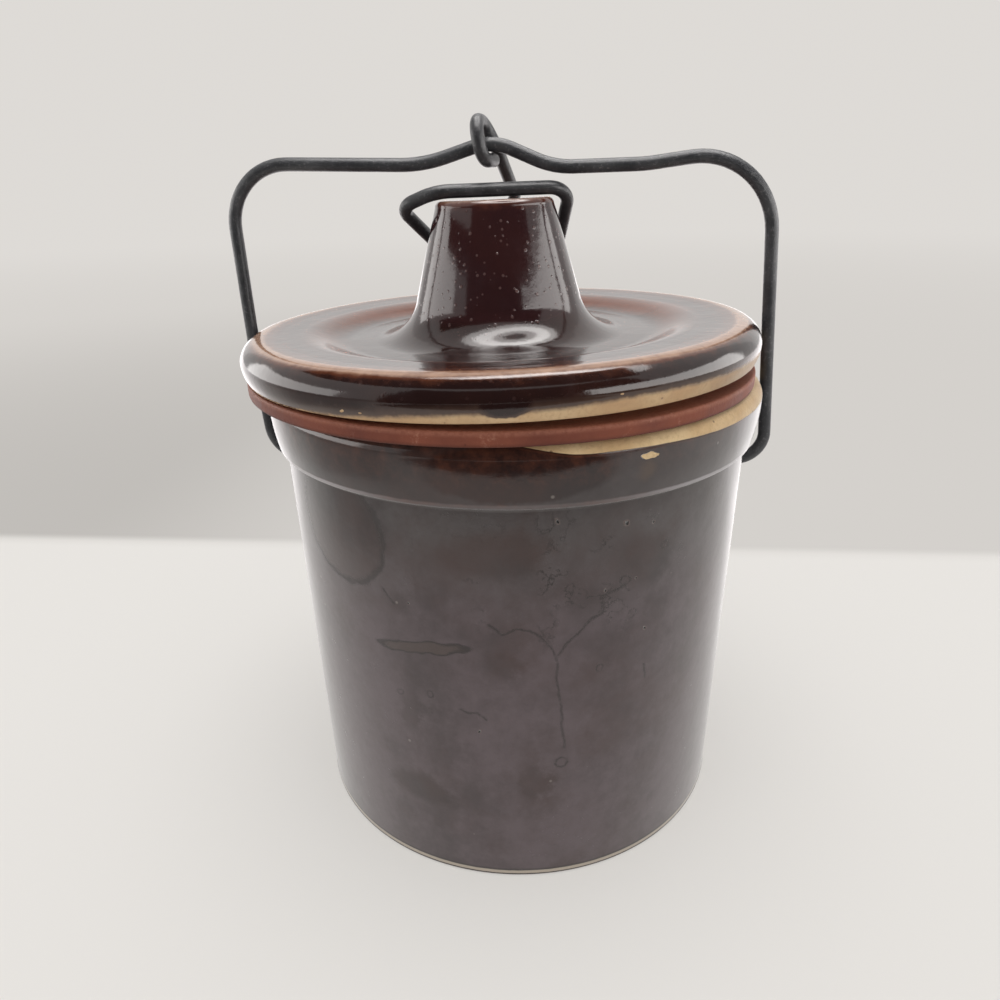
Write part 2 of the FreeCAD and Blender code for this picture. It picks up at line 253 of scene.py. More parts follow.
# A profile corner is (across, up, arc radius or 0, how thin the glaze lies there); the arc leads to the next
# corner, and a negative radius curves the other way. Millimetres in, a mesh of single points out.
def makeProfile(name, corners, step=0.5):
    points = []
    for index, (across, up, radius, thin) in enumerate(corners):
        start = Vector((across, up))
        if index + 1 == len(corners):
            points.append((start, thin))
            break
        end = Vector(corners[index + 1][:2])
        endThin = corners[index + 1][3]
        chord = end - start
        if not radius:
            parts = max(1, math.ceil(chord.length / (step * 2.2)))
            shares = [k / parts for k in range(parts)]
            if chord.length > 0.4:  # a point close to each end keeps the corner crisp
                crisp = 0.06 / chord.length
                shares = [0.0, crisp, *shares[1:], 1 - crisp]
            for share in shares:
                points.append((start + chord * share, thin + (endThin - thin) * share))
            continue
        reach = math.sqrt(max(radius * radius - chord.length_squared / 4, 0))
        left = Vector((-chord.y, chord.x)).normalized()
        centre = (start + end) / 2 + left * math.copysign(reach, radius)
        first = math.atan2(start.y - centre.y, start.x - centre.x)
        sweep = math.atan2(end.y - centre.y, end.x - centre.x) - first
        sweep = (sweep + math.pi) % (2 * math.pi) - math.pi
        parts = max(5, math.ceil(abs(sweep) / math.radians(7)), math.ceil(chord.length / step))
        for k in range(parts):
            angle = first + sweep * k / parts
            spot = centre + Vector((math.cos(angle), math.sin(angle))) * abs(radius)
            points.append((spot, thin + (endThin - thin) * k / parts))
    mesh = bpy.data.meshes.new(name + "Profile")
    mesh.from_pydata([(p.x * mm, 0, p.y * mm) for p, thin in points], [], [])
    attribute = mesh.attributes.new("thin", "FLOAT", "POINT")
    attribute.data.foreach_set("value", [thin for p, thin in points])
    return mesh


# A wire's stops are (place, bend radius) in millimetres; out comes a line that carries the radii.
def makeCorners(name, stops):
    mesh = bpy.data.meshes.new(name + "Corners")
    mesh.from_pydata([tuple(v * mm for v in spot) for spot, bend in stops],
                     [(k, k + 1) for k in range(len(stops) - 1)], [])
    attribute = mesh.attributes.new("bend", "FLOAT", "POINT")
    attribute.data.foreach_set("value", [bend * mm for spot, bend in stops])
    return mesh


turningTree = buildTurningTree()
wireTree = buildWireTree()
groups = {}
print("shape trees built")


def useGroup(w, name, values):
    return w.add("ShaderNodeGroup", values, node_tree=groups[name]).outputs


# Where a point lies on a round wall: across from the front and up from the base, in millimetres.
def buildWallPlace():
    tree, w, given, result = newGroup("wallPlace", "ShaderNodeTree", [
        ("Vector", "NodeSocketVector", None), ("Radius", "NodeSocketFloat", 48.0),
    ], [("Place", "NodeSocketVector")])
    part = w.split(given.outputs["Vector"])
    angle = w.math("ARCTAN2", part[0], w.times(part[1], -1.0))
    place = w.combine(w.times(angle, given.outputs["Radius"]), w.times(part[2], 1000.0))
    w.tree.links.new(place, result.inputs[0])
    return tree


# How far a point of the wall is from a straight scratch, in millimetres.
def buildScratch():
    tree, w, given, result = newGroup("scratch", "ShaderNodeTree", [
        ("Place", "NodeSocketVector", None), ("Start", "NodeSocketVector", None),
        ("End", "NodeSocketVector", None),
    ], [("Distance", "NodeSocketFloat")])
    reach = w.vector("SUBTRACT", given.outputs["Place"], given.outputs["Start"])
    run = w.vector("SUBTRACT", given.outputs["End"], given.outputs["Start"])
    along = w.vector("DOT_PRODUCT", reach, run)
    share = w.math("DIVIDE", along, w.vector("DOT_PRODUCT", run, run), clamp=True)
    nearest = w.add("ShaderNodeVectorMath", {0: run, "Scale": share}, operation="SCALE").outputs[0]
    w.tree.links.new(w.vector("LENGTH", w.vector("SUBTRACT", reach, nearest)), result.inputs[0])
    return tree


# An oval blot: 0 in its middle, 1 on its edge.
def buildBlot():
    tree, w, given, result = newGroup("blot", "ShaderNodeTree", [
        ("Place", "NodeSocketVector", None), ("Centre", "NodeSocketVector", None),
        ("Size", "NodeSocketVector", (1.0, 1.0, 1.0)), ("Turn", "NodeSocketFloat", 0.0),
    ], [("Reach", "NodeSocketFloat")])
    off = w.vector("SUBTRACT", given.outputs["Place"], given.outputs["Centre"])
    turned = w.add("ShaderNodeVectorRotate", {"Vector": off, "Angle": given.outputs["Turn"]},
                   rotation_type="Z_AXIS").outputs[0]
    w.tree.links.new(w.vector("LENGTH", w.vector("DIVIDE", turned, given.outputs["Size"])), result.inputs[0])
    return tree


# Small scattered dots: 1 on a dot. Share is how many cells carry one, Dot how large it is in its cell.
def buildDots():
    tree, w, given, result = newGroup("dots", "ShaderNodeTree", [
        ("Vector", "NodeSocketVector", None), ("Scale", "NodeSocketFloat", 500.0),
        ("Share", "NodeSocketFloat", 0.3), ("Dot", "NodeSocketFloat", 0.2),
    ], [("Mask", "NodeSocketFloat")])
    cells = w.add("ShaderNodeTexVoronoi", {"Vector": given.outputs["Vector"],
                                           "Scale": given.outputs["Scale"]})
    random = w.split(cells.outputs["Color"])
    chosen = w.math("LESS_THAN", random[0], given.outputs["Share"])
    size = w.times(given.outputs["Dot"], w.math("ADD", 0.4, w.times(random[1], 0.6)))
    inside = w.ramp(w.math("DIVIDE", cells.outputs["Distance"], size), 1.0, 0.55)
    w.tree.links.new(w.times(chosen, inside), result.inputs[0])
    return tree


glaze = {
    "thick": rgb(0.017, 0.0075, 0.0070), "warm": rgb(0.048, 0.016, 0.010), "red": rgb(0.105, 0.034, 0.018),
    "broken": rgb(0.46, 0.275, 0.185), "film": rgb(0.078, 0.058, 0.064), "roughness": 0.11, "filmRoughness": 0.12,
    "ior": 1.52, "bump": 0.00006,
}


# The brown glaze: dark where it lies thick, orange where it breaks over an edge, dull under a film.
def buildGlazeSkin():
    tree, w, given, result = newGroup("glazeSkin", "ShaderNodeTree", [
        ("Vector", "NodeSocketVector", None), ("Thin", "NodeSocketFloat", 0.0),
        ("Film", "NodeSocketFloat", 0.0), ("Warmth", "NodeSocketFloat", 0.5),
        ("Film Color", "NodeSocketColor", glaze["film"]),
    ], [("Color", "NodeSocketColor"), ("Roughness", "NodeSocketFloat"), ("Height", "NodeSocketFloat")])
    here = given.outputs["Vector"]
    cloud = w.noise(here, 55.0, 4.0, 0.6)
    fine = w.noise(here, 420.0, 4.0, 0.65)
    dust = w.noise(here, 1600.0, 2.0, 0.6)
    warm = w.times(w.ramp(cloud, 0.38, 0.7), given.outputs["Warmth"])
    thick = w.mix(warm, glaze["thick"], glaze["warm"])
    ragged = w.math("ADD", given.outputs["Thin"], w.times(w.math("SUBTRACT", fine, 0.5), 0.55))
    ragged = w.times(ragged, w.ramp(given.outputs["Thin"], 0.02, 0.2))
    red = w.mix(w.ramp(ragged, 0.08, 0.5), thick, glaze["red"])
    broken = w.mix(w.ramp(ragged, 0.42, 0.95), red, glaze["broken"])
    film = w.math("MULTIPLY", given.outputs["Film"], w.ramp(fine, 0.1, 0.75, 0.8, 1.1), clamp=True)
    filmed = w.mix(film, broken, given.outputs["Film Color"])
    w.tree.links.new(filmed, result.inputs["Color"])
    rough = w.math("ADD", glaze["roughness"], w.times(film, glaze["filmRoughness"]))
    rough = w.math("ADD", rough, w.times(w.ramp(dust, 0.45, 0.8), 0.05))
    w.tree.links.new(rough, result.inputs["Roughness"])
    peel = w.math("ADD", w.times(fine, 0.35), w.times(dust, 0.04))
    w.tree.links.new(w.math("ADD", peel, w.times(cloud, 1.6)), result.inputs["Height"])
    return tree


clay = {
    "dark": rgb(0.56, 0.37, 0.185), "pale": rgb(0.70, 0.52, 0.29), "sand": rgb(0.46, 0.30, 0.155),
    "iron": rgb(0.12, 0.055, 0.025),
}


# Bare buff stoneware: sandy, with iron specks.
def buildBareClay():
    tree, w, given, result = newGroup("bareClay", "ShaderNodeTree", [
        ("Vector", "NodeSocketVector", None),
    ], [("Color", "NodeSocketColor"), ("Height", "NodeSocketFloat")])
    here = given.outputs["Vector"]
    sand = w.noise(here, 1300.0, 3.0, 0.7)
    buff = w.mix(w.ramp(w.noise(here, 130.0), 0.3, 0.7), clay["dark"], clay["pale"])
    sandy = w.mix(w.ramp(sand, 0.42, 0.8, 0.0, 0.7), buff, clay["sand"])
    specks = useGroup(w, "dots", {"Vector": here, "Scale": 900.0, "Share": 0.07, "Dot": 0.35})[0]
    w.tree.links.new(w.mix(w.times(specks, 0.75), sandy, clay["iron"]), result.inputs["Color"])
    w.tree.links.new(sand, result.inputs["Height"])
    return tree


groups.update(wallPlace=buildWallPlace(), scratch=buildScratch(), blot=buildBlot(), dots=buildDots())
groups.update(glazeSkin=buildGlazeSkin(), bareClay=buildBareClay())
print("finish groups built:", len(groups))


def newMaterial(name):
    material = bpy.data.materials.new(name)
    material.use_nodes = True
    material.node_tree.nodes.clear()
    w = Wiring(material.node_tree)
    shader = w.add("ShaderNodeBsdfPrincipled")
    w.add("ShaderNodeOutputMaterial", {"Surface": shader.outputs[0]})
    return material, w, shader


def objectPlace(w):
    return w.add("ShaderNodeTexCoord").outputs["Object"]


def addBump(w, shader, height, distance):
    bump = w.add("ShaderNodeBump", {"Height": height, "Distance": distance, "Strength": 1.0})
    w.tree.links.new(bump.outputs[0], shader.inputs["Normal"])


def placeBlot(w, place, centre, size, turn=0.0):
    return useGroup(w, "blot", {"Place": place, "Centre": (*centre, 0), "Size": (*size, 1), "Turn": turn})[0]


# The distance to the nearest stretch of a scratch that runs through several points.
def traceScratch(w, place, points):
    return w.lowest([useGroup(w, "scratch", {"Place": place, "Start": (*start, 0), "End": (*end, 0)})[0]
                     for start, end in zip(points, points[1:])])


# The jar, in millimetres. A mark is its place (across from the front, up), its half width and half
# height, and its turn in radians.
jar = {
    "foot": 46.4, "side": 48.0, "heel": 0.4, "bead": 82.8, "neck": 0.9, "beadRound": 0.6,
    "flare": 0.9, "bulge": 34.0, "glazeEnd": 90.7, "rimRound": 2.7,
    "segments": 300, "unevenness": 0.16, "waviness": 34.0, "seed": 3.0,
    "measuredAt": 47.6, "warmth": 0.6, "sheen": 0.6, "sheenRoughness": 0.4,
    "cleanFront": ((3.6, 88.4), (15.5, 5.2)), "stain": ((-31.5, 73.8), (11.6, 10.8), 0.5),
    "patch": ((-14.6, 53.4), (9.2, 1.35), -0.16), "crawled": ((15.0, 68.0), (26.0, 17.0)),
    "chip": ((24.2, 89.9), (1.55, 0.5), 0.05), "chipRuns": ((24.0, 87.4), (2.0, 2.6)),
    "footLine": 0.9, "glintLevel": 82.62,
    "glazeLine": (93.3, 92.2),  # height at which the glaze ends, in front and behind
    "cracks": [  # fine cracks in the film, each through several points
        [(-1.5, 60.0), (0.6, 57.9), (3.0, 59.4), (5.5, 58.9), (7.4, 57.6), (9.0, 55.4), (10.4, 52.0),
         (10.3, 48.5), (11.0, 43.0), (11.5, 37.0), (12.0, 32.5)],
        [(10.2, 52.6), (11.6, 55.6), (13.6, 57.4), (16.0, 59.8), (18.4, 61.0), (18.3, 64.4), (22.6, 65.6)],
        [(-7.6, 41.2), (-5.6, 40.6), (-4.2, 41.0), (-2.6, 39.6)],
        [(27.6, 47.4), (28.4, 44.4)],
        [(-21.4, 64.2), (-19.4, 61.4)],
    ],
    "rings": [  # small dried bubbles: place and radius
        ((11.4, 29.0), 1.15), ((22.4, 66.6), 0.9), ((24.3, 59.6), 0.85), ((-13.2, 43.6), 0.7),
        ((18.4, 49.4), 0.7), ((30.4, 71.6), 0.7), ((-19.8, 42.2), 0.6),
    ],
    "pits": [  # pinholes: place and radius
        ((22.0, 77.5), 0.42), ((27.4, 76.4), 0.3), ((24.6, 66.4), 0.22), ((18.6, 65.5), 0.25),
        ((27.2, 55.6), 0.25), ((-3.9, 36.6), 0.25), ((-18.0, 38.8), 0.2), ((10.0, 79.6), 0.28),
        ((-16.0, 62.6), 0.2),
    ],
    "smudges": [  # thin places in the film, and how much film is left there
        ((-16.5, 19.5), (7.0, 4.5), 0.35, 0.3), ((6.2, 24.5), (3.6, 6.0), 0.0, 0.4),
        ((1.0, 50.8), (3.6, 3.0), 0.0, 0.55), ((-1.0, 73.5), (12.0, 5.6), -0.1, 0.35),
        ((-17.0, 38.0), (2.6, 5.0), 0.1, 0.6), ((27.0, 70.0), (7.0, 6.5), 0.3, 0.45),
        ((16.0, 62.0), (5.0, 4.0), 0.2, 0.8), ((-18.0, 62.5), (3.0, 3.2), 0.0, 0.6),
    ],
    "filmHigh": rgb(0.068, 0.058, 0.058), "filmLow": rgb(0.090, 0.064, 0.071),
    "patchBrown": rgb(0.050, 0.030, 0.023), "dirt": rgb(0.012, 0.007, 0.006), "dust": rgb(0.25, 0.22, 0.2),
    "pitRim": rgb(0.16, 0.115, 0.10), "pitDark": rgb(0.006, 0.004, 0.004),
    "beadHighlight": rgb(0.40, 0.38, 0.40), "footDark": rgb(0.012, 0.008, 0.007),
    "footPale": rgb(0.42, 0.36, 0.29), "runBrown": rgb(0.09, 0.055, 0.035),
    "edgeBrown": rgb(0.03, 0.014, 0.008),
}
rimTop = jar["glazeEnd"] + jar["rimRound"]


# The dull film over the side, missing from the smudges and from the clean front of the collar.
def layFilm(w, here, place, shaky, cloud):
    spot = w.split(place)
    part = w.split(here)
    mottle = w.noise(here, 130.0, 5.0, 0.7)
    streak = w.noise(w.combine(w.times(part[0], 2.2), w.times(part[1], 2.2), part[2]), 60.0, 4.0)
    mixed = w.math("ADD", w.times(cloud, 0.4), w.times(streak, 0.25))
    film = w.ramp(w.math("ADD", mixed, w.times(mottle, 0.35)), 0.38, 0.6, 0.38, 0.98)
    push = w.times(w.math("SUBTRACT", mottle, 0.5), 14.0)
    torn = w.vector("ADD", place, w.combine(push, w.times(w.math("SUBTRACT", cloud, 0.5), 9.0)))
    for centre, size, turn, left in jar["smudges"]:
        film = w.times(film, w.ramp(placeBlot(w, torn, centre, size, turn), 0.5, 1.15, left, 1.0))
    collar = w.ramp(spot[1], jar["bead"] - 0.6, jar["bead"] + 0.2)
    clean = placeBlot(w, shaky, *jar["cleanFront"])
    clearer = w.math("MAXIMUM", w.ramp(spot[0], -26.0, 16.0, 0.12, 1.0), w.ramp(spot[0], -70.0, -120.0))
    collarFilm = w.times(w.ramp(clean, 0.86, 1.04), w.ramp(cloud, 0.3, 0.6, 0.35, 0.8), clearer)
    return w.blend(collar, film, collarFilm)


# Cracks, crawled film and dried bubbles: 1 on a dark line.
def drawLines(w, here, place, shaky):
    cracks = w.lowest([traceScratch(w, shaky, points) for points in jar["cracks"]])
    line = w.times(w.ramp(cracks, 0.42, 0.1), 0.75)
    grain = w.noise(here, 240.0, 4.0, 0.6)
    crawl = w.ramp(w.math("ABSOLUTE", w.math("SUBTRACT", grain, 0.5)), 0.026, 0.006)
    crawled = w.times(w.ramp(placeBlot(w, place, *jar["crawled"]), 1.1, 0.4), 0.8)
    crawl = w.times(crawl, w.math("MAXIMUM", crawled, 0.12), w.ramp(w.noise(here, 120.0, 2.0), 0.53, 0.62))
    line = w.math("MAXIMUM", line, crawl)
    for centre, size in jar["rings"]:
        reach = placeBlot(w, shaky, centre, (size, size))
        line = w.math("MAXIMUM", line, w.times(w.ramp(reach, 0.66, 0.95), w.ramp(reach, 1.3, 1.05), 0.8))
    return w.times(line, w.ramp(w.noise(here, 700.0, 2.0), 0.25, 0.5, 0.35, 1.0))


def finishJar():
    material, w, shader = newMaterial("jarGlaze")
    here = objectPlace(w)
    place = useGroup(w, "wallPlace", {"Vector": here, "Radius": jar["measuredAt"]})[0]
    spot = w.split(place)
    wander = w.noise(here, 300.0, 3.0, 0.7)
    shake = w.combine(w.times(w.math("SUBTRACT", wander, 0.5), 1.7), w.sway(here, 340.0, 1.7))
    shaky = w.vector("ADD", place, shake)
    cloud = w.noise(here, 42.0, 4.0, 0.65)
    film = layFilm(w, here, place, shaky, cloud)
    line = drawLines(w, here, place, shaky)

    # the film is mauve low down and a greener grey under the collar
    level = w.math("ADD", spot[1], w.times(cloud, 16.0))
    filmTone = w.mix(w.ramp(level, 88.0, 62.0), jar["filmHigh"], jar["filmLow"])

    # the big oval stain and the long patch, each with a dark ragged border
    stain = w.math("ADD", placeBlot(w, shaky, *jar["stain"]), w.sway(here, 1100.0, 0.10, 2.0, 0.8))
    patch = placeBlot(w, shaky, *jar["patch"])
    worn = w.ramp(w.math("SUBTRACT", spot[0], spot[1]), -112.0, -96.0, 0.35, 1.0)
    stainEdge = w.times(w.ramp(stain, 0.87, 0.985), w.ramp(stain, 1.05, 0.99), worn)
    patchEdge = w.times(w.ramp(patch, 0.70, 0.96), w.ramp(patch, 1.16, 1.02))
    film = w.times(film, w.math("SUBTRACT", 1.0, w.times(w.ramp(stain, 1.0, 0.96), 0.5)))

    # glaze lies thin on the bead, at the foot and along its end under the rim
    thinMade = w.add("ShaderNodeAttribute", attribute_name="thin").outputs["Fac"]
    under = w.math("ADD", spot[1], w.sway(here, 60.0, 0.9, 5.0, 0.45))
    behind = w.ramp(w.math("ABSOLUTE", spot[0]), 95.0, 140.0)
    lowered = w.math("ADD", w.ramp(spot[0], -2.0, 15.0, 0.0, 2.0), w.ramp(spot[0], 18.0, 45.0, 0.0, 0.5))
    frontEnd, backEnd = jar["glazeLine"]
    overEnd = w.math("SUBTRACT", under, w.blend(behind, w.math("SUBTRACT", frontEnd, lowered), backEnd))
    thinEnd = w.times(w.ramp(overEnd, -1.1, -0.1), 0.34)
    thin = w.math("MAXIMUM", thinMade, thinEnd)
    skin = useGroup(w, "glazeSkin", {"Vector": here, "Thin": thin, "Film": film, "Warmth": jar["warmth"],
                                     "Film Color": filmTone})

    # dirt in the lines, pinholes and a little loose dust
    dirt = w.math("MAXIMUM", line, w.times(w.math("MAXIMUM", stainEdge, patchEdge), 0.85))
    pit = w.lowest([placeBlot(w, shaky, centre, (size, size)) for centre, size in jar["pits"]])
    pitCore = w.ramp(pit, 1.0, 0.6)
    pitRim = w.times(w.ramp(pit, 0.9, 1.2), w.ramp(pit, 1.9, 1.3))
    dust = useGroup(w, "dots", {"Vector": here, "Scale": 330.0, "Share": 0.05, "Dot": 0.16})[0]
    colour = w.mix(w.times(w.ramp(patch, 1.02, 0.9), 0.7), skin["Color"], jar["patchBrown"])
    colour = w.mix(w.times(dirt, 0.8), colour, jar["dirt"])
    colour = w.mix(w.times(pitRim, 0.45), colour, jar["pitRim"])
    colour = w.mix(pitCore, colour, jar["pitDark"])
    colour = w.mix(w.times(dust, 0.5), colour, jar["dust"])

    # painted highlight: a pale line along the bead, brightest at the sides
    glintLevel = w.math("ADD", jar["glintLevel"], w.times(wander, 0.3))
    beadOff = w.math("ABSOLUTE", w.math("SUBTRACT", spot[1], glintLevel))
    glintSides = w.math("ADD", w.ramp(spot[0], -12.0, -34.0, 0.1, 0.7), w.ramp(spot[0], 14.0, 38.0, 0.0, 0.59))
    colour = w.mix(w.times(w.ramp(beadOff, 0.5, 0.12), glintSides), colour, jar["beadHighlight"])

    # a worn pale line round the foot between two dark ones
    footLine = w.math("ADD", jar["footLine"], w.times(wander, 0.2))
    footOff = w.math("ABSOLUTE", w.math("SUBTRACT", spot[1], footLine))
    colour = w.mix(w.times(w.ramp(footOff, 1.1, 0.6), 0.7), colour, jar["footDark"])
    colour = w.mix(w.ramp(footOff, 0.5, 0.25), colour, jar["footPale"])

    # a chip in the collar with brown runs below it, and bare clay over the end of the glaze
    chip = w.ramp(placeBlot(w, shaky, *jar["chip"]), 1.12, 0.95)
    runs = w.times(w.ramp(placeBlot(w, shaky, *jar["chipRuns"]), 1.1, 0.2), 0.55)
    colour = w.mix(runs, colour, jar["runBrown"])
    edgeLine = w.times(w.ramp(overEnd, -0.22, -0.05), w.ramp(overEnd, 0.2, 0.05), 0.7)
    colour = w.mix(edgeLine, colour, jar["edgeBrown"])
    bare = w.highest([w.ramp(overEnd, 0.0, 0.12), w.math("LESS_THAN", spot[1], 0.06), chip])
    raw = useGroup(w, "bareClay", {"Vector": here})
    w.tree.links.new(w.mix(bare, colour, raw["Color"]), shader.inputs["Base Color"])
    rough = w.math("ADD", skin["Roughness"], w.times(w.math("MAXIMUM", dirt, pitCore), 0.3))
    w.tree.links.new(w.blend(bare, rough, 0.85), shader.inputs["Roughness"])
    height = w.math("SUBTRACT", skin["Height"], w.times(w.math("MAXIMUM", pitCore, chip), 4.0))
    height = w.math("ADD", height, w.times(raw["Height"], bare, 1.5))
    addBump(w, shader, height, glaze["bump"])
    shader.inputs["IOR"].default_value = glaze["ior"]
    shader.inputs["Sheen Weight"].default_value = jar["sheen"]
    shader.inputs["Sheen Roughness"].default_value = jar["sheenRoughness"]
    return material


def makeJar():
    side, bead = jar["side"], jar["bead"]
    beadOut = side + jar["neck"] + jar["beadRound"]
    rim = beadOut + jar["flare"]
    profile = makeProfile("jar", [
        (0, 0, 0, 0), (jar["foot"] - jar["heel"], 0, 0, 0), (jar["foot"], jar["heel"], 0, 0),
        (side, bead - jar["beadRound"] - jar["neck"], -jar["neck"], 0.0),
        (side + jar["neck"], bead - jar["beadRound"], jar["beadRound"], 0.2),
        (beadOut, bead, jar["bulge"], 0.34), (beadOut + 0.15, bead + 0.7, jar["bulge"], 0.1),
        (rim, jar["glazeEnd"], jar["rimRound"], 0.2),
        (rim - jar["rimRound"], rimTop, 0, 0.3), (0, rimTop, 0, 0)], 0.55)
    piece = growPiece("jarBody", profile, turningTree, {
        "Segments": jar["segments"], "Unevenness": jar["unevenness"] * mm, "Waviness": jar["waviness"],
        "Still Below": jar["heel"] * mm, "Seed": jar["seed"], "Material": finishJar()})
    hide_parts("crock")
    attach(piece, "root")


makeJar()


# The rubber ring, in millimetres. It lies on the jar's rim.
ring = {
    "outer": 50.9, "inner": 39.9, "thickness": 2.6, "round": 0.5, "shift": (-2.6, -1.2),
    "segments": 300, "unevenness": 0.12, "waviness": 60.0, "seed": 9.0, "bump": 0.00008,
    "rubber": rgb(0.135, 0.034, 0.020), "faded": rgb(0.205, 0.058, 0.032), "scuff": rgb(0.42, 0.21, 0.14),
    "speck": rgb(0.05, 0.015, 0.01), "topHighlight": rgb(0.40, 0.17, 0.11), "shade": rgb(0.05, 0.014, 0.009),
}


def finishRing():
    material, w, shader = newMaterial("ringRubber")
    here = objectPlace(w)
    cloud = w.noise(here, 90.0, 4.0, 0.6)
    fine = w.noise(here, 1500.0, 3.0, 0.7)
    colour = w.mix(w.ramp(cloud, 0.3, 0.7), ring["rubber"], ring["faded"])
    scuffs = w.times(w.ramp(w.noise(here, 260.0, 5.0, 0.8), 0.56, 0.72), w.ramp(fine, 0.4, 0.6))
    colour = w.mix(w.times(scuffs, 0.5), colour, ring["scuff"])
    specks = useGroup(w, "dots", {"Vector": here, "Scale": 800.0, "Share": 0.08, "Dot": 0.3})[0]
    colour = w.mix(w.times(specks, 0.4), colour, ring["speck"])
    # painted highlight along the ring's top edge, broken up by noise, and painted shade toward its foot on the
    # rim
    level = w.math("SUBTRACT", w.times(w.split(here)[2], 1000.0), rimTop)
    top = ring["thickness"]
    topHighlight = w.times(w.ramp(level, top - 1.1, top - 0.3), w.ramp(fine, 0.3, 0.6, 0.4, 1.0))
    colour = w.mix(w.times(topHighlight, 0.4), colour, ring["topHighlight"])
    colour = w.mix(w.ramp(level, 0.8, 0.1, 0.0, 0.5), colour, ring["shade"])
    w.tree.links.new(colour, shader.inputs["Base Color"])
    w.tree.links.new(w.ramp(cloud, 0.3, 0.7, 0.5, 0.66), shader.inputs["Roughness"])
    addBump(w, shader, w.math("ADD", fine, w.times(cloud, 2.0)), ring["bump"])
    shader.inputs["Specular IOR Level"].default_value = 0.3
    return material


def makeRing():
    edge = ring["round"]
    profile = makeProfile("ring", [
        (ring["inner"], 0, 0, 0), (ring["outer"] - edge, 0, edge, 0), (ring["outer"], edge, 0, 0),
        (ring["outer"], ring["thickness"] - edge, edge, 0), (ring["outer"] - edge, ring["thickness"], 0, 0),
        (ring["inner"], ring["thickness"], 0, 0), (ring["inner"], 0, 0, 0)])

    def place(mesh):
        mesh.transform(Matrix.Translation(Vector((*ring["shift"], rimTop)) * mm))

    piece = growPiece("rubberRing", profile, turningTree, {
        "Segments": ring["segments"], "Unevenness": ring["unevenness"] * mm, "Waviness": ring["waviness"],
        "Still Below": 0.2 * mm, "Seed": ring["seed"], "Material": finishRing()}, place)
    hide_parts("gasket")
    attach(piece, "root")


makeRing()


# The lid with its knob, in millimetres; heights are over the underside and the lean is in degrees.
lid = {
    "radius": 51.6, "underside": 97.148, "lean": 1.15, "shift": (-2.6, -1.2), "seatRadius": 46.1,
    "seatTop": 96.0, "edgeInset": 0.9, "edgeHeight": 3.55, "edgeBulge": 6.4, "crestInset": 4.6,
    "crestHeight": 7.05, "crestBulge": 4.2, "slope": 0.4, "trough": 1.1, "troughOuter": 30.0,
    "troughSide": 5.0, "troughBulge": 11.9, "flare": 25.5, "flareRise": 6.5, "flareBulge": 9.2,
    "cone": 16.7, "coneRise": 17.7, "knob": 11.7, "knobRound": 1.2,
    "segments": 300, "unevenness": 0.2, "waviness": 38.0, "seed": 5.0,
    "measuredAt": 51.0, "bareFrom": 45.0, "warmth": 0.35, "drip": ((5.0, 2.6), (3.4, 1.7)),
    "chips": [((-20.9, 1.3), 0.35), ((-17.6, 1.2), 0.3), ((22.5, 3.0), 0.3)],
    "halo": rgb(0.12, 0.075, 0.055), "slopePink": rgb(0.30, 0.115, 0.075), "maroon": rgb(0.052, 0.017, 0.021),
    "grain": rgb(0.215, 0.13, 0.12), "washed": rgb(0.36, 0.20, 0.13),
}


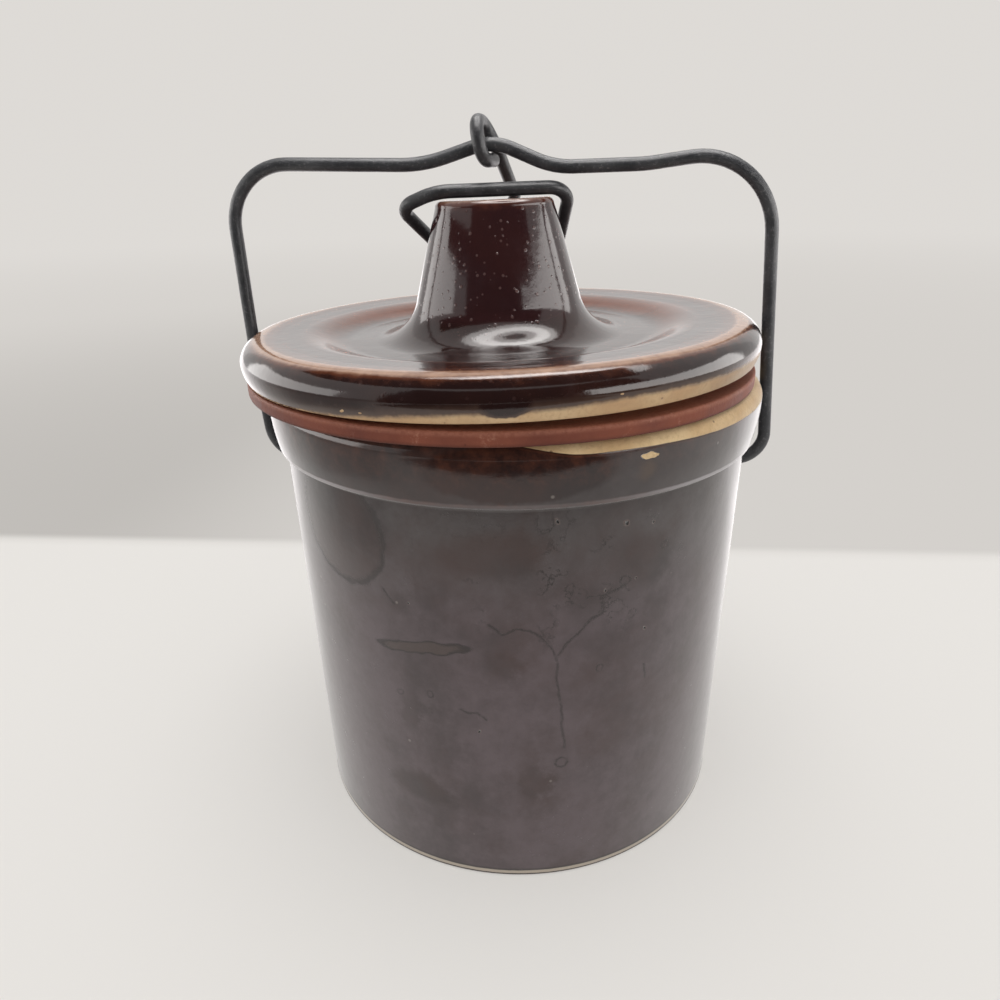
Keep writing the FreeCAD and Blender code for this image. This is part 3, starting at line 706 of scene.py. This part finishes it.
def finishLid():
    material, w, shader = newMaterial("lidGlaze")
    here = objectPlace(w)
    seat = [v * mm for v in (*lid["shift"], lid["underside"])]
    lean = (0, -math.radians(lid["lean"]), 0)
    own = w.add("ShaderNodeMapping", {"Vector": here, "Location": seat, "Rotation": lean},
                vector_type="TEXTURE").outputs[0]
    place = useGroup(w, "wallPlace", {"Vector": own, "Radius": lid["measuredAt"]})[0]
    wander = w.sway(here, 300.0, 1.0, 3.0, 0.7)
    shaky = w.vector("ADD", place, w.combine(wander, w.times(wander, 1.1)))
    spot = w.split(shaky)
    part = w.split(own)
    out = w.times(w.vector("LENGTH", w.combine(part[0], part[1])), 1000.0)
    cloud = w.noise(here, 60.0, 4.0, 0.6)
    thinMade = w.add("ShaderNodeAttribute", attribute_name="thin").outputs["Fac"]
    film = w.ramp(cloud, 0.5, 0.8, 0.0, 0.25)
    skin = useGroup(w, "glazeSkin", {"Vector": here, "Thin": thinMade, "Film": film, "Warmth": lid["warmth"]})

    # bare clay along the lower edge, more of it to the right
    front = w.ramp(spot[0], -34.0, 0.0, 0.0, 1.3)
    more = w.ramp(spot[0], -8.0, 34.0, 0.0, 1.05)
    behind = w.ramp(w.math("ABSOLUTE", spot[0]), 75.0, 125.0)
    line = w.blend(behind, w.math("ADD", front, more), 1.0)
    line = w.math("ADD", line, w.sway(here, 45.0, 0.8, 4.0, 0.45))
    drip = w.times(w.ramp(placeBlot(w, shaky, *lid["drip"]), 1.3, 0.4), 2.6)
    over = w.math("SUBTRACT", w.math("SUBTRACT", line, spot[1]), drip)
    onEdge = w.math("GREATER_THAN", out, lid["bareFrom"])
    chips = w.lowest([placeBlot(w, shaky, centre, (size, size * 0.5)) for centre, size in lid["chips"]])
    bare = w.highest([w.times(w.ramp(over, -0.5, 0.55), onEdge), w.math("LESS_THAN", spot[1], 0.1),
                      w.ramp(chips, 1.1, 0.9)])
    colour = w.mix(w.times(w.ramp(over, -2.2, -0.1), onEdge, 0.5), skin["Color"], lid["halo"])

    # thinner, pinkish glaze on the slope behind the knob
    turnedOut = w.math("ADD", out, w.times(w.math("SUBTRACT", cloud, 0.5), 7.0))
    slope = w.times(w.ramp(turnedOut, 30.5, 35.0), w.ramp(turnedOut, 42.0, 37.0),
                    w.ramp(part[1], -0.004, 0.016, 0.3, 1.0), w.math("GREATER_THAN", part[2], 0.003), 0.5)
    colour = w.mix(slope, colour, lid["slopePink"])

    # redder glaze on the knob, with fine light grains caught in it
    onKnob = w.times(w.ramp(out, 20.5, 18.0), w.ramp(w.times(part[2], 1000.0), 7.5, 10.0))
    grains = useGroup(w, "dots", {"Vector": here, "Scale": 900.0, "Share": 0.5, "Dot": 0.36})[0]
    coarse = useGroup(w, "dots", {"Vector": here, "Scale": 560.0, "Share": 0.34, "Dot": 0.24})[0]
    speck = w.math("MAXIMUM", w.times(grains, 0.6), coarse)
    speck = w.times(speck, w.math("ADD", w.times(onKnob, 0.85), 0.12))
    colour = w.mix(w.times(onKnob, 0.35), colour, lid["maroon"])
    colour = w.mix(w.times(speck, 0.55), colour, lid["grain"])

    bare = w.times(bare, w.ramp(spot[0], 30.0, 52.0, 1.0, 0.62))
    raw = useGroup(w, "bareClay", {"Vector": here})
    colour = w.mix(bare, colour, w.mix(0.3, raw["Color"], lid["washed"]))
    w.tree.links.new(colour, shader.inputs["Base Color"])
    w.tree.links.new(w.blend(bare, skin["Roughness"], 0.7), shader.inputs["Roughness"])
    height = w.math("ADD", skin["Height"], w.times(speck, 0.8))
    addBump(w, shader, w.math("ADD", height, w.times(raw["Height"], bare, 1.5)), glaze["bump"])
    shader.inputs["IOR"].default_value = glaze["ior"]
    return material


def makeLid():
    wide, crest = lid["radius"], lid["crestHeight"]
    crestOut = wide - lid["crestInset"]
    slope = crest - lid["slope"]
    floor = slope - 2 * lid["trough"]
    foot = floor + lid["flareRise"]
    coneTop = foot + lid["coneRise"]
    top = coneTop + lid["knobRound"]
    seat = lid["seatTop"] - lid["underside"]
    outer = lid["troughOuter"]
    profile = makeProfile("lid", [
        (0, seat, 0, 0), (lid["seatRadius"], seat, 0, 0), (lid["seatRadius"], 0, 0, 0.2),
        (wide - lid["edgeInset"], 0, lid["edgeBulge"], 0.15),
        (wide, lid["edgeHeight"], lid["crestBulge"], 0.0),
        (wide - 1.75, lid["edgeHeight"] + 2.62, lid["crestBulge"], 0.2),
        (wide - 3.0, lid["edgeHeight"] + 3.28, lid["crestBulge"], 0.8),
        (crestOut, crest, 0, 0.8), (crestOut - 0.9, crest - 0.05, 0, 0.42),
        (crestOut - 3.0, crest - 0.2, 0, 0.22),
        (outer + 2 * lid["troughSide"], slope, lid["troughBulge"], 0.1),
        (outer + lid["troughSide"], slope - lid["trough"], -lid["troughBulge"], 0.36),
        (outer, floor, 0, 0.06),
        (lid["flare"], floor, -lid["flareBulge"], 0.0), (lid["cone"], foot, 0, 0.0),
        (lid["knob"] + 0.45, coneTop - 1.6, 0, 0.06),
        (lid["knob"], coneTop, lid["knobRound"], 0.22), (lid["knob"] - lid["knobRound"], top, 0, 0.85),
        (lid["knob"] - 3.0, top, 0, 0.2), (0, top, 0, 0.05)])
    lean = Matrix.Rotation(-math.radians(lid["lean"]), 4, "Y")
    shift = Vector((*lid["shift"], lid["underside"])) * mm

    # the turned lid leans on its level seat
    def place(mesh):
        for vertex in mesh.vertices:
            level = vertex.co.z < -0.0002
            vertex.co = (vertex.co if level else lean @ vertex.co) + shift

    piece = growPiece("lidBody", profile, turningTree, {
        "Segments": lid["segments"], "Unevenness": lid["unevenness"] * mm, "Waviness": lid["waviness"],
        "Still Below": 0.1 * mm, "Seed": lid["seed"], "Material": finishLid()}, place)
    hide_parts("lid")
    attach(piece, "root")


makeLid()


# The two wires, in millimetres: corners of the same path as the solids', each with its bend radius.
wire = {
    "radius": 1.285, "unevenness": 0.05, "bump": 0.00004,
    "worn": rgb(0.055, 0.056, 0.060), "bright": rgb(0.19, 0.19, 0.19),
}
bail = {
    "tint": rgb(0.026, 0.027, 0.031),
    "stops": [
        ((-44.25, 0, 73.8), 0), ((-54.45, 0, 73.8), 7), ((-55.85, 0, 97.3), 30), ((-56.25, 0, 134.25), 11.8),
        ((-17.0, 0, 133.15), 30), ((-3.4, 0, 137.15), 11), ((8.3, 0, 132.25), 18), ((25.6, 0, 132.45), 40),
        ((49.0, 0, 135.25), 14.5), ((53.7, 0, 73.8), 5.6), ((44.25, 0, 73.8), 0)],
}
latch = {
    "tint": rgb(0.028, 0.028, 0.031),
    "stops": [
        ((-3.4, 1.6, 133.75), 0), ((-5.1, -3.8, 133.6), 2.8), ((-6.3, -3.5, 140.5), 3.1),
        ((-5.4, 3.3, 140.6), 3.0), ((-2.9, 4.2, 135.85), 4.0), ((-0.4, 14.05, 127.85), 4.0),
        ((0.8, 16.45, 119.35), 3.4), ((9.0, 11.35, 117.35), 3.6), ((11.45, 0.6, 128.8), 4.2),
        ((-14.05, -4.7, 128.4), 10), ((-21.55, -2.4, 125.65), 3.4), ((-15.0, 13.25, 115.65), 5.0),
        ((-4.0, 17.25, 114.65), 0)],
}


def finishWire(name, tint):
    material, w, shader = newMaterial(name)
    here = objectPlace(w)
    cloud = w.noise(here, 160.0, 4.0, 0.6)
    fine = w.noise(here, 1900.0, 3.0, 0.7)
    colour = w.mix(w.ramp(cloud, 0.35, 0.7), tint, wire["worn"])
    # painted highlight: pale specks on the wire stand in for small glints
    glintSpecks = w.times(w.ramp(fine, 0.54, 0.7), w.ramp(cloud, 0.35, 0.65, 0.35, 1.0))
    colour = w.mix(w.times(glintSpecks, 0.5), colour, wire["bright"])
    w.tree.links.new(colour, shader.inputs["Base Color"])
    w.tree.links.new(w.ramp(fine, 0.3, 0.7, 0.30, 0.48), shader.inputs["Roughness"])
    addBump(w, shader, w.math("ADD", fine, w.times(cloud, 1.5)), wire["bump"])
    return material


def makeWire(name, node, material, stops):
    piece = growPiece(name, makeCorners(name, stops), wireTree, {
        "Radius": wire["radius"] * mm, "Unevenness": wire["unevenness"] * mm, "Material": material})
    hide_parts(node)
    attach(piece, "root")


makeWire("bailHandle", "bail", finishWire("bailWire", bail["tint"]), bail["stops"])
makeWire("latchHook", "latch", finishWire("latchWire", latch["tint"]), latch["stops"])


# The table, the light tent and the lamp, in metres; azimuths are in degrees from the front.
studio = {
    "paper": rgb(0.80, 0.78, 0.75), "glowShare": 0.45, "floorRadius": 3.0, "fold": 0.102,
    "wall": rgb(0.66, 0.635, 0.605), "leftShadow": rgb(0.50, 0.48, 0.455), "sky": rgb(0.73, 0.705, 0.675),
    "sideGlow": rgb(2.3, 2.2, 2.2), "shadow": rgb(0.1, 0.1, 0.1),
    "light": (0.80, 0.788, 0.776), "cardGlow": rgb(1.0, 0.975, 0.955), "felt": rgb(0.012, 0.011, 0.011),
    "lamp": {"place": (0.0, -0.05, 0.75), "size": 0.45, "aim": (0.0, 0.0, 0.08), "brightness": 2.6},
    "halos": {  # centre, inner and outer radius, glow
        "haloCore": ((0.05, -0.02, 0.42), 0.085, 0.150, 11.0),
        "haloGlow": ((0.05, -0.02, 0.43), 0.045, 0.20, 5.0),
    },
    "walls": {  # from and to azimuth, low and high edge, how far off each edge is, glow or 0 for felt
        "leftWall": (-61, -122, 0.085, 0.26, 0.42, 0.42, 3.5),
        "rightWall": (38, 118, 0.095, 0.28, 0.42, 0.42, 4.5),
        "backWall": (135, 225, 0.09, 0.55, 0.48, 0.48, 1.05),
        "rimFlag": (-75, 46, 0.135, 0.135, 0.043, 0.070, 0),
        "darkFront": (-42, 66, 0.02, 0.62, 0.45, 0.45, 0),
    },
    "darkTable": [(-0.20, -0.21, 0.001), (0.26, -0.21, 0.001), (0.30, -0.46, 0.001), (-0.24, -0.46, 0.001)],
    "wallSteps": 12, "haloSteps": 48,
}


# Pale paper: lit near the crock, with a soft fold behind it where it rises into the backdrop.
def makeFloor():
    bpy.ops.mesh.primitive_circle_add(vertices=96, radius=studio["floorRadius"], fill_type="NGON")
    floor = bpy.context.object
    floor.name = "studioFloor"
    material, w, shader = newMaterial("paperFloor")
    here = objectPlace(w)
    shader.inputs["Base Color"].default_value = studio["paper"]
    shader.inputs["Roughness"].default_value = 0.9
    shader.inputs["Specular IOR Level"].default_value = 0.1
    part = w.split(here)
    far = w.vector("LENGTH", here)
    wall = w.mix(w.ramp(far, 0.4, 2.2), studio["wall"], studio["sky"])
    # painted shadow: the paper to the left of and behind the crock is darkened
    leftShadow = w.times(w.ramp(part[0], -0.05, -0.2), w.ramp(far, 0.9, 0.2), 0.8)
    wall = w.mix(leftShadow, wall, studio["leftShadow"])
    folded = w.ramp(part[1], studio["fold"] - 0.006, studio["fold"] + 0.006)
    behind = w.math("MAXIMUM", folded, w.ramp(far, 0.3, 0.7))
    tone = w.mix(behind, studio["paper"], wall)

    # in the gloss the paper beside and behind the crock is brighter, and dimmer to the left of it
    side = w.math("ABSOLUTE", w.math("ARCTAN2", part[0], w.times(part[1], -1.0)))
    glossy = w.add("ShaderNodeLightPath").outputs["Is Glossy Ray"]
    bright = w.times(w.ramp(side, 1.55, 2.6), glossy)
    dim = w.times(w.ramp(side, 0.6, 1.0), w.ramp(side, 1.9, 1.4), w.ramp(far, 0.14, 0.19),
                  w.math("LESS_THAN", part[0], 0.0), glossy, 0.5)
    tone = w.mix(bright, w.mix(dim, tone, studio["shadow"]), studio["sideGlow"])
    share = w.highest([behind, studio["glowShare"], w.times(dim, 1.9), bright])
    glow = w.add("ShaderNodeEmission", {"Color": tone})
    blend = w.add("ShaderNodeMixShader", {0: share, 1: shader.outputs[0], 2: glow.outputs[0]})
    output = next(node for node in w.tree.nodes if node.type == "OUTPUT_MATERIAL")
    w.tree.links.new(blend.outputs[0], output.inputs["Surface"])
    material.cycles.emission_sampling = "NONE"
    floor.data.materials.append(material)


def makeWorld():
    world = bpy.data.worlds.new("studioWorld")
    bpy.context.scene.world = world
    world.use_nodes = True
    world.node_tree.nodes.clear()
    w = Wiring(world.node_tree)
    seen = w.add("ShaderNodeLightPath").outputs["Is Camera Ray"]
    shade = w.add("ShaderNodeBackground", {"Color": w.mix(seen, rgb(*studio["light"]), studio["sky"])})
    w.add("ShaderNodeOutputWorld", {"Surface": shade.outputs[0]})
    world.cycles.sampling_method = "NONE"  # an even sky needs no aimed rays


# A soft square lamp over the crock. The gloss shows the cards and not the lamp.
def makeLamp():
    lamp = studio["lamp"]
    data = bpy.data.lights.new("topBox", "AREA")
    data.shape = "RECTANGLE"
    data.size = data.size_y = lamp["size"]
    data.energy = lamp["brightness"] * math.pi * lamp["size"] ** 2
    box = bpy.data.objects.new("topBox", data)
    bpy.context.scene.collection.objects.link(box)
    box.location = lamp["place"]
    aim = Vector(lamp["aim"]) - Vector(lamp["place"])
    box.rotation_euler = aim.to_track_quat("-Z", "Y").to_euler()
    box.visible_camera = False
    box.visible_glossy = False


# A card that only shows in the gloss, like the walls of a light tent. Without a glow it is dark felt.
def makeCard(name, corners, faces, glow=0):
    mesh = bpy.data.meshes.new(name)
    mesh.from_pydata(corners, [], faces)
    card = bpy.data.objects.new(name, mesh)
    bpy.context.scene.collection.objects.link(card)
    material, _, shader = newMaterial(name + "Skin")
    shader.inputs["Base Color"].default_value = studio["felt"]
    shader.inputs["Roughness"].default_value = 0.9
    shader.inputs["Specular IOR Level"].default_value = 0.0
    if glow:
        shader.inputs["Emission Color"].default_value = studio["cardGlow"]
        shader.inputs["Emission Strength"].default_value = glow
    material.cycles.emission_sampling = "NONE"  # the gloss finds the card without aimed rays
    mesh.materials.append(material)
    card.visible_camera = False
    card.visible_diffuse = False
    card.visible_shadow = False


# A wall of the tent: part of a drum, or of a flat ring, round the crock.
def makeWall(name, start, end, low, high, lowAway, highAway, glow):
    steps = studio["wallSteps"]
    corners = []
    for k in range(steps + 1):
        turn = math.radians(start + (end - start) * k / steps)
        for away, level in ((lowAway, low), (highAway, high)):
            corners.append((away * math.sin(turn), -away * math.cos(turn), level))
    makeCard(name, corners, [(2 * k, 2 * k + 2, 2 * k + 3, 2 * k + 1) for k in range(steps)], glow)


# A ring lamp over the crock.
def makeHalo(name, centre, inner, outer, glow):
    steps = studio["haloSteps"]
    corners = []
    for k in range(steps):
        turn = 2 * math.pi * k / steps
        outward = Vector((math.cos(turn), math.sin(turn), 0))
        corners += [Vector(centre) + outward * reach for reach in (inner, outer)]
    faces = [(2 * k, (2 * k + 2) % (2 * steps), (2 * k + 3) % (2 * steps), 2 * k + 1) for k in range(steps)]
    makeCard(name, corners, faces, glow)


makeFloor()
makeWorld()
makeLamp()
for name, sizes in studio["halos"].items():
    makeHalo(name, *sizes)
for name, sizes in studio["walls"].items():
    makeWall(name, *sizes)
makeCard("darkTable", studio["darkTable"], [(0, 1, 2, 3)])
print("studio set up:", len(studio["halos"]) + len(studio["walls"]) + 1, "cards")


# Where the camera stands, in metres, and which way its right and its top point.
camera = {
    "lens": 27.0, "place": (0.01096, -0.15676, 0.12947),
    "right": (0.99632, 0.08313, -0.02075), "up": (-0.01321, 0.38833, 0.92143),
}


def makeCamera():
    data = bpy.data.cameras.new("camera")
    data.lens = camera["lens"]
    data.sensor_width = 36.0
    data.clip_start = 0.01
    data.clip_end = 10.0
    body = bpy.data.objects.new("camera", data)
    bpy.context.scene.collection.objects.link(body)
    right, up = Vector(camera["right"]), Vector(camera["up"])
    turn = Matrix((right, up, right.cross(up))).transposed().to_4x4()
    body.matrix_world = Matrix.Translation(camera["place"]) @ turn
    bpy.context.scene.camera = body


makeCamera()
bpy.context.scene.view_settings.view_transform = "Standard"
